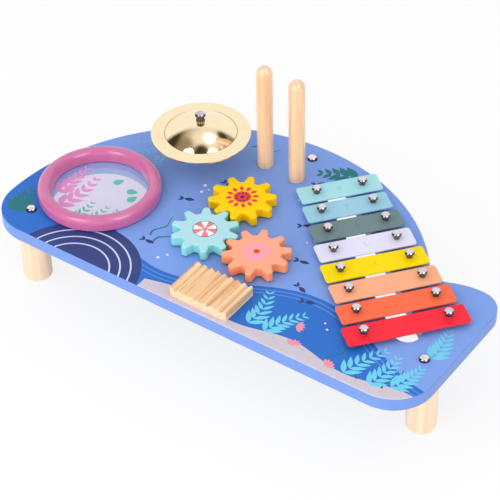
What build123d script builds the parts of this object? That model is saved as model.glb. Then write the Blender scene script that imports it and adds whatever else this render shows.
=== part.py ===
from build123d import *
import os
from math import asin, cos, radians, sin

# Musical activity table for small children: a painted wooden top on three dowel legs, with a
# drum, a cymbal, a train of three gears, eight chime bars, a ribbed scraper and two beaters.
#
# Millimetres. The origin is on the floor, under the middle of the table top's bounding box.
# +X runs along the straight front edge to the right, +Y to the back, +Z up.

# ---------------------------------------------------------------- table top
table_height = 81.4  # floor to the upper face
top_thickness = 14.4
top_length = 482.0  # along the front edge
top_depth = 269.0
tail_reach = 45.0  # from the big round's right side to the right edge
tail_depth = 172.0  # front edge to the highest point of the right-hand tail
tail_radius = 76.0  # the tail's crowned back edge
tail_crown_inset = 27.0  # from the right edge to the crown's highest point
front_left_corner = 45.0
front_right_corner = 41.5
tail_corner = 25.0
neck_radius = 20.0  # the hollow between the big round and the tail
top_edge_round = 1.6

# ---------------------------------------------------------------- legs and their bolts
leg_diameter = 28.4
leg_foot_round = 3.0
leg_shoulder_chamfer = 0.6
front_left_leg_inset = (36.8, 30.5)  # from the left and the front edge
front_right_leg_inset = (23.0, 64.5)  # from the right and the front edge
back_leg_offset = 1.1  # to the left of the big round's middle
back_leg_inset = 20.8  # from the back edge
bolt_diameter = 5.0
bolt_head_diameter = 10.2
bolt_head_height = 2.8
bolt_grip = 12.0  # thread inside the leg
bolt_hole_clearance = 0.25
insert_diameter = 8.0
insert_length = 13.0
insert_bore_spare = 2.0  # the leg's bore runs on past the insert

# ---------------------------------------------------------------- drum
drum_ring_inset = (15.7, 27.3)  # from the left and the front edge to the ring
drum_hole_diameter = 97.0
drum_ring_lip = 1.1  # how far the ring's bore stands inside the hole
drum_ring_width = 13.0
drum_ring_height = 14.0
drum_ring_upper_round = 6.0
drum_ring_lower_round = 2.0
drum_skin_thickness = 0.4
drum_skin_margin = 3.0  # from the skin's edge to the ring's outer edge
ring_screw_count = 4
ring_screw_diameter = 3.5
ring_screw_grip = 8.0  # thread inside the ring

# ---------------------------------------------------------------- screw heads
screw_head_ratio = 2.0  # countersunk head diameter over shank diameter
pan_round_share = 0.85  # a head's upper edge round, as a share of its height
recess_length_share = 0.55  # cross recess, as a share of the head's diameter
recess_width_share = 0.13
recess_depth_share = 0.45  # as a share of the head's height

# ---------------------------------------------------------------- cymbal
cymbal_inset = (358.3, 78.5)  # from the right and the back edge
cymbal_diameter = 99.0
cymbal_dome_diameter = 71.6
cymbal_rim_height = 29.6  # the rim's upper face above the table top
cymbal_flange_rise = 0.7
cymbal_dome_height = 14.0  # above the flange
cymbal_dome_bulge = 2.6  # how far the dome's side bows out from its chord
cymbal_land_diameter = 13.0  # the flat at the crown
cymbal_sheet = 1.2
cymbal_felt_diameter = 12.4
cymbal_felt_height = 3.0
cymbal_washer_diameter = 9.0
cymbal_washer_height = 1.0
cymbal_screw_diameter = 4.8  # the plain shoulder that the cymbal turns on
cymbal_screw_thread = 4.0
cymbal_screw_grip = 14.0
cymbal_screw_neck_diameter = 6.2
cymbal_screw_neck_height = 5.2
cymbal_screw_head_diameter = 10.8
cymbal_screw_head_height = 2.7
post_foot_diameter = 24.0
post_foot_height = 4.0
post_diameter = 16.0
post_screw_diameter = 4.0
post_screw_grip = 12.0

# ---------------------------------------------------------------- gears
gear_teeth = 10
gear_tip_diameter = 65.8
gear_root_diameter = 47.4
gear_thickness = 10.0
gear_distance = 59.0  # between meshed axles
tooth_root_width = 10.6
tooth_tip_width = 5.8
tooth_tip_round = 2.5
tooth_root_round = 2.2
gear_edge_round = 1.0
teal_gear_offset = -39.2  # from the top's middle
teal_gear_inset = 89.3  # from the front edge
yellow_gear_direction = 88.5  # from the teal gear, degrees from +X
orange_gear_direction = 0.9
teal_gear_turn = 15.3  # a tooth's direction at rest, degrees from +X
tooth_play_lean = 1.6  # how far each outer gear has slipped into its tooth play, degrees
axle_diameter = 8.0
axle_socket_depth = 7.0  # the blind bore in each gear
running_gap = 0.08  # radial, between a turning shaft and its bore
spacer_diameter = 18.0
spacer_height = 2.0
retainer_washer_diameter = 18.0
retainer_washer_height = 1.2
retainer_play = 0.3  # below the table top
retainer_screw_diameter = 3.2
retainer_screw_grip = 12.0
retainer_head_diameter = 7.0
retainer_head_height = 2.4

# ---------------------------------------------------------------- chime bars
chime_inset = 134.9  # the set's middle, from the right edge
chime_offset = 17.3  # and from the top's middle
chime_direction = 50.8  # the bars' length, degrees from +X
semitones = (0, 2, 4, 5, 7, 9, 11, 12)  # a major scale, from the longest bar up
longest_bar = 116.2
bar_width = 24.8
bar_pitch = 28.9
bar_thickness = 1.6
bar_corner_round = 3.2
bar_edge_round = 0.5
screw_spacings = (80.2, 75.9, 70.6, 67.2, 62.1, 57.3, 51.7, 46.2)  # between a bar's two screws
bar_offsets = (0.2, 0.4, 0.1, -0.5, -0.6, 0.5, 0.5, 1.8)  # along each bar, off the set's middle
felt_diameter = 11.0
felt_height = 4.9
collar_diameter = 5.4
collar_wall_gap = 0.1  # between the collar and the screw, and the felt
bar_hole_gap = 0.2  # between the collar and the bar
collar_stand = 0.8  # the collar's rise above the bar
chime_screw_diameter = 3.2
chime_screw_grip = 10.0
chime_neck_diameter = 5.9
chime_neck_height = 3.8
chime_head_diameter = 9.6
chime_head_height = 2.6
slot_width = 25.0
slot_overrun = 4.0  # past the outer bars' long edges

# ---------------------------------------------------------------- scraper board
scraper_offset = 13.0  # from the top's middle
scraper_inset = 6.0  # from the front edge
scraper_length = 63.0
scraper_depth = 43.0
scraper_height = 10.5
groove_count = 8
groove_pitch = 7.4
groove_width = 6.6
groove_depth = 3.3
scraper_screw_diameter = 3.5
scraper_screw_grip = 5.5
scraper_screw_margin = 14.0  # from the scraper's ends
scraper_edge_round = 0.6

# ---------------------------------------------------------------- beaters
beater_diameter = 16.2
beater_stand = 117.4  # above the table top
beater_hole_depth = 10.5
beater_hole_gap = 0.2
beater_end_chamfer = 1.0
left_beater_inset = (298.3, 53.8)  # from the right and the back edge
right_beater_inset = (259.7, 55.3)

# ---------------------------------------------------------------- places worked out
left_edge = -top_length / 2
right_edge = top_length / 2
front_edge = -top_depth / 2
back_edge = top_depth / 2
top_face = table_height
under_face = table_height - top_thickness
round_radius = (top_length - tail_reach) / 2  # the one big round of the left side and the back
round_centre = (left_edge + round_radius, back_edge - round_radius)


def from_left(inset):
    """Plan position of something dimensioned from the left and the front edge."""
    return (left_edge + inset[0], front_edge + inset[1])


def from_right(inset):
    """Plan position of something dimensioned from the right and the front edge."""
    return (right_edge - inset[0], front_edge + inset[1])


def from_back(inset):
    """Plan position of something dimensioned from the right and the back edge."""
    return (right_edge - inset[0], back_edge - inset[1])


leg_places = {
    "front_left_leg": from_left(front_left_leg_inset),
    "front_right_leg": from_right(front_right_leg_inset),
    "back_leg": (round_centre[0] - back_leg_offset, back_edge - back_leg_inset),
}
drum_ring_radius = drum_hole_diameter / 2 - drum_ring_lip + drum_ring_width
drum_place = from_left([inset + drum_ring_radius for inset in drum_ring_inset])
cymbal_place = from_back(cymbal_inset)
beater_places = {
    "left_beater": from_back(left_beater_inset),
    "right_beater": from_back(right_beater_inset),
}
teal_gear_place = (teal_gear_offset, front_edge + teal_gear_inset)


def gear_neighbour(direction):
    """Axle of a gear that meshes with the teal gear, in the given direction."""
    x, y = teal_gear_place
    return (x + gear_distance * cos(radians(direction)), y + gear_distance * sin(radians(direction)))


def meshed_turn(direction, lean):
    """Rest turn of a gear in mesh with the teal gear, slipped by lean in its tooth play."""
    half_pitch = 180 / gear_teeth
    return 2 * direction - teal_gear_turn + 180 + half_pitch + lean


yellow_gear_turn = meshed_turn(yellow_gear_direction, tooth_play_lean)
orange_gear_turn = meshed_turn(orange_gear_direction, -tooth_play_lean)
gear_places = {
    "yellow": (gear_neighbour(yellow_gear_direction), yellow_gear_turn),
    "teal": (teal_gear_place, teal_gear_turn),
    "orange": (gear_neighbour(orange_gear_direction), orange_gear_turn),
}
gear_underside = top_face + spacer_height
axle_end = under_face - retainer_play

chime_frame = Location((right_edge - chime_inset, chime_offset, 0), (0, 0, chime_direction))
bar_count = len(semitones)
bar_underside = top_face + felt_height
collar_top = bar_underside + bar_thickness + collar_stand
slot_length = (bar_count - 1) * bar_pitch + bar_width + 2 * slot_overrun

ring_middle_radius = drum_ring_radius - drum_ring_width / 2
ring_underside = top_face + drum_skin_thickness
dome_edge_height = top_face + cymbal_rim_height + cymbal_flange_rise
crown_height = dome_edge_height + cymbal_dome_height
post_top = crown_height - cymbal_sheet - cymbal_felt_height
scraper_centre = (scraper_offset, front_edge + scraper_inset + scraper_depth / 2)


# ---------------------------------------------------------------- helpers
def rod(radius, low, high, place=(0, 0)):
    """Vertical cylinder between two heights."""
    solid = Cylinder(radius, high - low, align=(Align.CENTER, Align.CENTER, Align.MIN))
    return Pos(place[0], place[1], low) * solid


def tube(outer, inner, low, high, place=(0, 0)):
    """Vertical tube between two heights."""
    return rod(outer, low, high, place) - rod(inner, low, high, place)


def turned(profile):
    """Solid turned about Z from a face drawn in the XZ plane."""
    return revolve(Plane.XZ * profile, Axis.Z)


def domed_head(radius, height, seat):
    """Smooth round head standing on seat."""
    crown = seat + height
    head = rod(radius, seat, crown)
    return fillet(head.edges().filter_by_position(Axis.Z, crown, crown), height * pan_round_share)


def capped_screw(shank_radius, neck_radius, neck_height, head_radius, head_height, seat, tip):
    """Screw with a smooth cap on a slimmer neck: the neck sits on seat, the shank ends at tip."""
    cap_seat = seat + neck_height
    cap = domed_head(head_radius, head_height, cap_seat)
    return cap + rod(neck_radius, seat, cap_seat) + rod(shank_radius, tip, seat)


def pan_screw(shank_radius, head_radius, head_height, seat, tip):
    """Pan-head screw standing on Z: its head sits on seat and its shank ends at tip."""
    crown = seat + head_height
    head = domed_head(head_radius, head_height, seat)
    wide = 2 * head_radius * recess_length_share
    narrow = 2 * head_radius * recess_width_share
    deep = 2 * head_height * recess_depth_share
    head -= [Pos(0, 0, crown) * Box(wide, narrow, deep), Pos(0, 0, crown) * Box(narrow, wide, deep)]
    return head + rod(shank_radius, tip, seat)


def countersunk_screw(shank_radius, face, tip):
    """Screw driven upwards: its flat head is flush with face and its shank ends at tip."""
    head_radius = shank_radius * screw_head_ratio
    head_height = head_radius - shank_radius
    half = Polygon(
        (0, face),
        (head_radius, face),
        (shank_radius, face + head_height),
        (shank_radius, tip),
        (0, tip),
        align=None,
    )
    return turned(half)


def screw_hole(shank_radius, face, tip, place):
    """The hole that a countersunk screw fills."""
    return Pos(place[0], place[1], 0) * countersunk_screw(shank_radius, face, tip)


def ring_screw_places():
    """Plan positions of the screws that hold the drum ring."""
    spots = PolarLocations(ring_middle_radius, ring_screw_count, start_angle=45)
    return [(drum_place[0] + s.position.X, drum_place[1] + s.position.Y) for s in spots]


def scraper_screw_places():
    """Plan positions of the screws that hold the scraper."""
    offset = scraper_length / 2 - scraper_screw_margin
    return [(scraper_centre[0] + side * offset, scraper_centre[1]) for side in (-1, 1)]


def bar_length(index):
    """Length of a bar: a free bar's pitch rises with the inverse square of its length."""
    return longest_bar * 2 ** (-semitones[index] / 24)


def bar_middle(index):
    """Location of a bar's middle, at floor level, with X along the bar."""
    return chime_frame * Pos(bar_offsets[index], (index - (bar_count - 1) / 2) * bar_pitch, 0)


def bar_screw_locations():
    """Locations of all chime screws, at floor level."""
    spots = []
    for index in range(bar_count):
        for side in (-1, 1):
            spots.append(bar_middle(index) * Pos(side * screw_spacings[index] / 2, 0, 0))
    return spots


def group(solid, locations):
    """One node of separate copies of a solid."""
    return Compound(children=[location * solid for location in locations])


# ---------------------------------------------------------------- table top
def top_outline():
    """The top's plan: a big disc cut straight at the front, with a tail to the right."""
    front_half = Pos(0, front_edge + round_radius) * Rectangle(2 * top_length, 2 * round_radius)
    disc = (Pos(*round_centre) * Circle(round_radius)) & front_half
    crown_centre = (right_edge - tail_crown_inset, front_edge + tail_depth - tail_radius)
    reach = right_edge - round_centre[0]
    straight = tail_depth - tail_radius
    lower_tail = Pos(right_edge - reach / 2, front_edge + straight / 2) * Rectangle(reach, straight)
    beyond = Pos(right_edge + tail_radius, crown_centre[1]) * Rectangle(2 * tail_radius, 4 * tail_radius)
    crown = Pos(*crown_centre) * Circle(tail_radius) - beyond
    crown -= Pos(crown_centre[0], front_edge - tail_radius) * Rectangle(4 * tail_radius, 2 * tail_radius)
    outline = disc + lower_tail + crown
    return round_outline_corners(outline)


def round_outline_corners(outline):
    """Round the four corners of the plan, each by its own radius."""
    by_x = outline.vertices().sort_by(Axis.X)
    front = outline.vertices().filter_by(lambda v: abs(v.Y - front_edge) < 0.01).sort_by(Axis.X)
    right = outline.vertices().filter_by(lambda v: abs(v.X - right_edge) < 0.01).sort_by(Axis.Y)
    neck = [v for v in by_x if v.Y > front_edge + tail_radius / 2 and v.X < right_edge - 1][-1]
    outline = fillet(neck, neck_radius)
    corners = (
        (front[0], front_left_corner),
        (front[-1], front_right_corner),
        (right[-1], tail_corner),
    )
    for picked, radius in corners:
        corner = outline.vertices().sort_by_distance(picked.center())[0]
        outline = fillet(corner, radius)
    return outline


def table_top():
    """The painted board with all its openings and pilot holes."""
    board = Pos(0, 0, under_face) * extrude(top_outline(), top_thickness)
    rims = board.edges().filter_by_position(Axis.Z, under_face, under_face)
    rims += board.edges().filter_by_position(Axis.Z, top_face, top_face)
    board = fillet(rims, top_edge_round)
    cuts = [rod(drum_hole_diameter / 2, under_face, top_face, drum_place)]
    slot = extrude(Rotation(0, 0, 90) * SlotOverall(slot_length, slot_width), top_thickness)
    cuts.append(chime_frame * Pos(0, 0, under_face) * slot)
    for place in leg_places.values():
        cuts.append(rod(bolt_diameter / 2 + bolt_hole_clearance, under_face, top_face, place))
    for place, _ in gear_places.values():
        cuts.append(rod(axle_diameter / 2 + running_gap, under_face, top_face, place))
    for place in beater_places.values():
        hole_radius = beater_diameter / 2 + beater_hole_gap
        cuts.append(rod(hole_radius, top_face - beater_hole_depth, top_face, place))
    for place in ring_screw_places():
        cuts.append(screw_hole(ring_screw_diameter / 2, under_face, top_face, place))
    for place in scraper_screw_places():
        cuts.append(screw_hole(scraper_screw_diameter / 2, under_face, top_face, place))
    cuts.append(screw_hole(post_screw_diameter / 2, under_face, top_face, cymbal_place))
    pilot = rod(chime_screw_diameter / 2, top_face - chime_screw_grip, top_face)
    cuts += [spot * pilot for spot in bar_screw_locations()]
    return board - cuts


# ---------------------------------------------------------------- legs
def leg(place):
    """Dowel leg with a softened foot and a bore for its insert."""
    body = rod(leg_diameter / 2, 0, under_face)
    foot = body.edges().filter_by_position(Axis.Z, 0, 0)
    body = fillet(foot, leg_foot_round)
    shoulder = body.edges().filter_by_position(Axis.Z, under_face, under_face)
    body = chamfer(shoulder, leg_shoulder_chamfer)
    body -= rod(insert_diameter / 2, under_face - insert_length - insert_bore_spare, under_face)
    return Pos(place[0], place[1], 0) * body


def leg_inserts():
    """Threaded sleeves pressed into the legs' upper ends."""
    sleeve = tube(insert_diameter / 2, bolt_diameter / 2, under_face - insert_length, under_face)
    return group(sleeve, [Pos(x, y, 0) for x, y in leg_places.values()])


def leg_bolts():
    """Round-headed bolts through the top into the legs."""
    bolt = domed_head(bolt_head_diameter / 2, bolt_head_height, top_face)
    bolt += rod(bolt_diameter / 2, under_face - bolt_grip, top_face)
    return group(bolt, [Pos(x, y, 0) for x, y in leg_places.values()])


# ---------------------------------------------------------------- drum
def drum_ring():
    """Turned wooden ring with a full, rounded section."""
    section = Pos(ring_middle_radius, ring_underside + drum_ring_height / 2)
    section *= Rectangle(drum_ring_width, drum_ring_height)
    upper = section.vertices().group_by(Axis.Y)[-1]
    section = fillet(upper, drum_ring_upper_round)
    lower = section.vertices().group_by(Axis.Y)[0]
    section = fillet(lower, drum_ring_lower_round)
    ring = Pos(drum_place[0], drum_place[1], 0) * turned(section)
    pilot = [
        rod(ring_screw_diameter / 2, ring_underside, ring_underside + ring_screw_grip, place)
        for place in ring_screw_places()
    ]
    return ring - pilot


def drum_skin():
    """Printed film, clamped between the ring and the top."""
    film = rod(drum_ring_radius - drum_skin_margin, top_face, ring_underside, drum_place)
    for place in ring_screw_places():
        film -= rod(ring_screw_diameter / 2, top_face, ring_underside, place)
    return film


def drum_ring_screws():
    """Screws from below that pull the ring onto its skin."""
    screw = countersunk_screw(ring_screw_diameter / 2, under_face, ring_underside + ring_screw_grip)
    return group(screw, [Pos(x, y, 0) for x, y in ring_screw_places()])


# ---------------------------------------------------------------- cymbal
def cymbal():
    """Spun brass cymbal: a flat flange round a domed middle, pierced at the crown."""
    rim = (cymbal_diameter / 2, top_face + cymbal_rim_height)
    edge = (cymbal_dome_diameter / 2, dome_edge_height)
    land = (cymbal_land_diameter / 2, crown_height)
    hole = (cymbal_screw_diameter / 2 + running_gap, crown_height)
    drop = Vector(0, -cymbal_sheet)
    with BuildSketch() as half:
        with BuildLine():
            Line(rim, edge)
            SagittaArc(edge, land, -cymbal_dome_bulge)
            Polyline(land, hole, Vector(hole) + drop, Vector(land) + drop)
            SagittaArc(Vector(land) + drop, Vector(edge) + drop, cymbal_dome_bulge)
            Polyline(Vector(edge) + drop, Vector(rim) + drop, rim)
        make_face()
    return Pos(cymbal_place[0], cymbal_place[1], 0) * turned(half.sketch)


def cymbal_post():
    """Turned wooden post with a flared foot, bored for a screw at each end."""
    foot = post_foot_diameter / 2
    neck = post_diameter / 2
    with BuildSketch() as half:
        with BuildLine():
            Polyline((neck, post_top), (0, post_top), (0, top_face), (foot, top_face))
            Line((foot, top_face), (foot, top_face + post_foot_height))
            Spline(
                (foot, top_face + post_foot_height),
                (neck, post_top),
                tangents=((-1, 0.4), (0, 1)),
            )
        make_face()
    post = turned(half.sketch)
    post -= rod(cymbal_screw_thread / 2, post_top - cymbal_screw_grip, post_top)
    post -= rod(post_screw_diameter / 2, top_face, top_face + post_screw_grip)
    return Pos(cymbal_place[0], cymbal_place[1], 0) * post


def cymbal_post_screw():
    """Screw from below that holds the post."""
    screw = countersunk_screw(post_screw_diameter / 2, under_face, top_face + post_screw_grip)
    return Pos(cymbal_place[0], cymbal_place[1], 0) * screw


def cymbal_felt():
    """Felt washer that the cymbal rests on."""
    bore = cymbal_screw_diameter / 2 + running_gap
    return tube(cymbal_felt_diameter / 2, bore, post_top, post_top + cymbal_felt_height, cymbal_place)


def cymbal_washer():
    """Nylon washer between the cymbal and its screw's head."""
    bore = cymbal_screw_diameter / 2 + running_gap
    high = crown_height + cymbal_washer_height
    return tube(cymbal_washer_diameter / 2, bore, crown_height, high, cymbal_place)


def cymbal_screw():
    """Shouldered screw: the cymbal turns on its plain part, and its thread bites the post."""
    screw = capped_screw(
        cymbal_screw_diameter / 2,
        cymbal_screw_neck_diameter / 2,
        cymbal_screw_neck_height,
        cymbal_screw_head_diameter / 2,
        cymbal_screw_head_height,
        crown_height + cymbal_washer_height,
        post_top,
    )
    screw += rod(cymbal_screw_thread / 2, post_top - cymbal_screw_grip, post_top)
    return Pos(cymbal_place[0], cymbal_place[1], 0) * screw


# ---------------------------------------------------------------- gears
def gear_outline():
    """Plan of a wooden gear with blunt, rounded teeth, one of them along +X."""
    root_radius = gear_root_diameter / 2
    tip_radius = gear_tip_diameter / 2
    flank_foot = root_radius * cos(asin(tooth_root_width / 2 / root_radius))
    tooth = Polygon(
        (0, -tooth_root_width / 2),
        (flank_foot, -tooth_root_width / 2),
        (tip_radius, -tooth_tip_width / 2),
        (tip_radius, tooth_tip_width / 2),
        (flank_foot, tooth_root_width / 2),
        (0, tooth_root_width / 2),
        align=None,
    )
    outline = Circle(root_radius)
    for index in range(gear_teeth):
        outline += Rotation(0, 0, index * 360 / gear_teeth) * tooth
    tips = outline.vertices().filter_by(lambda v: Vector(v).length > tip_radius - 0.01)
    outline = fillet(tips, tooth_tip_round)
    roots = outline.vertices().filter_by(lambda v: abs(Vector(v).length - root_radius) < 0.01)
    return fillet(roots, tooth_root_round)


def gear(place, turn):
    """A gear with softened edges and a blind bore in its underside for the axle."""
    wheel = Pos(0, 0, gear_underside) * extrude(gear_outline(), gear_thickness)
    upper = gear_underside + gear_thickness
    wheel = chamfer(wheel.edges().filter_by_position(Axis.Z, upper, upper), gear_edge_round)
    wheel -= rod(axle_diameter / 2, gear_underside, gear_underside + axle_socket_depth)
    return Location((place[0], place[1], 0), (0, 0, turn)) * wheel


def gear_axle(place):
    """Axle glued into its gear, with a pilot bore for the retaining screw."""
    body = rod(axle_diameter / 2, axle_end, gear_underside + axle_socket_depth)
    body -= rod(retainer_screw_diameter / 2, axle_end, axle_end + retainer_screw_grip)
    return Pos(place[0], place[1], 0) * body


def gear_spacers():
    """Nylon spacers that hold the gears clear of the painted face."""
    bore = axle_diameter / 2 + running_gap
    spacer = tube(spacer_diameter / 2, bore, top_face, gear_underside)
    return group(spacer, [Pos(x, y, 0) for (x, y), _ in gear_places.values()])


def gear_retainer(place):
    """Washer under the table top that keeps a gear from lifting out."""
    low = axle_end - retainer_washer_height
    return tube(retainer_washer_diameter / 2, retainer_screw_diameter / 2, low, axle_end, place)


def gear_screw(place):
    """Screw that holds the retaining washer against the axle's end."""
    seat = retainer_washer_height - axle_end
    tip = -(axle_end + retainer_screw_grip)
    head_radius = retainer_head_diameter / 2
    screw = pan_screw(retainer_screw_diameter / 2, head_radius, retainer_head_height, seat, tip)
    return Pos(place[0], place[1], 0) * Rotation(180, 0, 0) * screw


# ---------------------------------------------------------------- chime bars
def chime_bar(index):
    """Flat metal bar with rounded corners and a hole over each screw."""
    plan = RectangleRounded(bar_length(index), bar_width, bar_corner_round)
    plate = Pos(0, 0, bar_underside) * extrude(plan, bar_thickness)
    upper = bar_underside + bar_thickness
    plate = fillet(plate.edges().filter_by_position(Axis.Z, upper, upper), bar_edge_round)
    hole = rod(collar_diameter / 2 + bar_hole_gap, bar_underside, upper)
    plate -= [Pos(side * screw_spacings[index] / 2, 0, 0) * hole for side in (-1, 1)]
    return bar_middle(index) * plate


def chime_felts():
    """Felt discs that carry the bars clear of the table top."""
    felt = tube(felt_diameter / 2, collar_diameter / 2 + collar_wall_gap, top_face, bar_underside)
    return group(felt, bar_screw_locations())


def chime_collars():
    """Rubber collars that keep the screws off the bars."""
    collar = tube(collar_diameter / 2, chime_screw_diameter / 2 + collar_wall_gap, top_face, collar_top)
    return group(collar, bar_screw_locations())


def chime_screws():
    """Chrome screws that stand on the collars."""
    screw = capped_screw(
        chime_screw_diameter / 2,
        chime_neck_diameter / 2,
        chime_neck_height,
        chime_head_diameter / 2,
        chime_head_height,
        collar_top,
        top_face - chime_screw_grip,
    )
    return group(screw, bar_screw_locations())


# ---------------------------------------------------------------- scraper board
def scraper():
    """Wooden block with V grooves across its upper face."""
    block = Box(scraper_length, scraper_depth, scraper_height, align=(Align.CENTER, Align.CENTER, Align.MIN))
    block = fillet(block.edges().filter_by(Axis.Z), scraper_edge_round)
    groove = Polygon(
        (-groove_width / 2, scraper_height),
        (0, scraper_height - groove_depth),
        (groove_width / 2, scraper_height),
        align=None,
    )
    cutter = extrude(Plane.XZ * groove, scraper_depth, both=True)
    first = -(groove_count - 1) / 2 * groove_pitch
    block -= [Pos(first + i * groove_pitch, 0, 0) * cutter for i in range(groove_count)]
    block = Pos(scraper_centre[0], scraper_centre[1], top_face) * block
    pilot = rod(scraper_screw_diameter / 2, top_face, top_face + scraper_screw_grip)
    return block - [Pos(x, y, 0) * pilot for x, y in scraper_screw_places()]


def scraper_screws():
    """Screws from below that hold the scraper."""
    screw = countersunk_screw(scraper_screw_diameter / 2, under_face, top_face + scraper_screw_grip)
    return group(screw, [Pos(x, y, 0) for x, y in scraper_screw_places()])


# ---------------------------------------------------------------- beaters
def beater(place):
    """Dowel beater with a ball end, standing in its blind hole."""
    radius = beater_diameter / 2
    low = top_face - beater_hole_depth
    high = top_face + beater_stand
    stick = rod(radius, low, high - radius)
    stick = chamfer(stick.edges().filter_by_position(Axis.Z, low, low), beater_end_chamfer)
    stick += Pos(0, 0, high - radius) * Sphere(radius)
    return Pos(place[0], place[1], 0) * stick


# ---------------------------------------------------------------- nodes
def all_nodes():
    """Every node by name."""
    nodes = {"table_top": table_top()}
    for name, place in leg_places.items():
        nodes[name] = leg(place)
    nodes["leg_inserts"] = leg_inserts()
    nodes["leg_bolts"] = leg_bolts()
    nodes["drum_ring"] = drum_ring()
    nodes["drum_skin"] = drum_skin()
    nodes["drum_ring_screws"] = drum_ring_screws()
    nodes["cymbal"] = cymbal()
    nodes["cymbal_post"] = cymbal_post()
    nodes["cymbal_post_screw"] = cymbal_post_screw()
    nodes["cymbal_felt"] = cymbal_felt()
    nodes["cymbal_washer"] = cymbal_washer()
    nodes["cymbal_screw"] = cymbal_screw()
    for colour, (place, turn) in gear_places.items():
        nodes[colour + "_gear"] = gear(place, turn)
        nodes[colour + "_gear_axle"] = gear_axle(place)
        nodes[colour + "_gear_retainer"] = gear_retainer(place)
        nodes[colour + "_gear_screw"] = gear_screw(place)
    nodes["gear_spacers"] = gear_spacers()
    for index in range(bar_count):
        nodes["chime_bar_%d" % (index + 1)] = chime_bar(index)
    nodes["chime_felts"] = chime_felts()
    nodes["chime_collars"] = chime_collars()
    nodes["chime_screws"] = chime_screws()
    nodes["scraper"] = scraper()
    nodes["scraper_screws"] = scraper_screws()
    for name, place in beater_places.items():
        nodes[name] = beater(place)
    return nodes


os.makedirs("parts", exist_ok=True)
for node_name, shape in all_nodes().items():
    export_step(shape, "parts/" + node_name + ".step")
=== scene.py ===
"""Looks of the musical activity table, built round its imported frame.

Metres, unless a comment or a docstring says millimetres. The origin is on the floor under the
top's middle, +X runs along the straight front edge to the right, +Y to the back and +Z up.
"""

import logging
import math
from collections.abc import Sequence
from dataclasses import dataclass
from enum import Enum
from functools import cache

import bmesh
import bpy
from bpy.types import ID, Material, Mesh, Node, NodeTree, Object, World
from mathutils import Matrix, Vector


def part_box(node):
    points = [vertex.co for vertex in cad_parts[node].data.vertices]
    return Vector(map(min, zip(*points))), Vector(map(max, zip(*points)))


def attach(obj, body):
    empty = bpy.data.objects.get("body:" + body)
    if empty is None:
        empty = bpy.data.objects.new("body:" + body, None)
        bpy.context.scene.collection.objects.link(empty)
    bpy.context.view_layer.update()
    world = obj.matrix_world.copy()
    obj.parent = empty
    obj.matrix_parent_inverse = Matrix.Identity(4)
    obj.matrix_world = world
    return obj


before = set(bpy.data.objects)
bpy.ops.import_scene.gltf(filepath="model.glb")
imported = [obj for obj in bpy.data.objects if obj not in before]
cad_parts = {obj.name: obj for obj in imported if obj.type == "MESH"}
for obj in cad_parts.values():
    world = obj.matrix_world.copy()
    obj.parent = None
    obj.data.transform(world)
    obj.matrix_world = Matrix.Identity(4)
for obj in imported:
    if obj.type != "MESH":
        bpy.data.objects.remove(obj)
LOG = logging.getLogger("activity_table")
MM = 0.001
PRINT_LIFT = 0.03 * MM  # a print's upper face above what it is printed on
PRINT_SINK = 0.05 * MM  # and its lower face below it
LAYER = 0.0013 * MM  # from one print to the next where they may cross
LAYER_COUNT = 5
RIBBON_SWING = 2.4 * MM  # to each side, and a wavy ribbon's width at its foot
RIBBON_STRIDE = 4.2 * MM  # along the ribbon for each radian of its wave
RIBBON_TAPER = 0.7  # share of its width that it loses to its tip

Colour = tuple[float, float, float, float]
Point = tuple[float, float]
Place = tuple[float, float, float]
Stem = tuple[Point, Point, Point]
Leaf = tuple[float, float, float, float]
Socket = bpy.types.NodeSocket


def srgb(red: int, green: int, blue: int) -> Colour:
    """Linear colour of a screen colour.

    Args:
        red: Red level, 0 to 255.
        green: Green level, 0 to 255.
        blue: Blue level, 0 to 255.

    Returns:
        The linear colour with full alpha.
    """
    levels = []
    for level in (red, green, blue):
        share = level / 255
        levels.append(share / 12.92 if share <= 0.04045 else ((share + 0.055) / 1.055) ** 2.4)
    return (*levels, 1.0)


WHITE: Colour = (1.0, 1.0, 1.0, 1.0)


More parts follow.
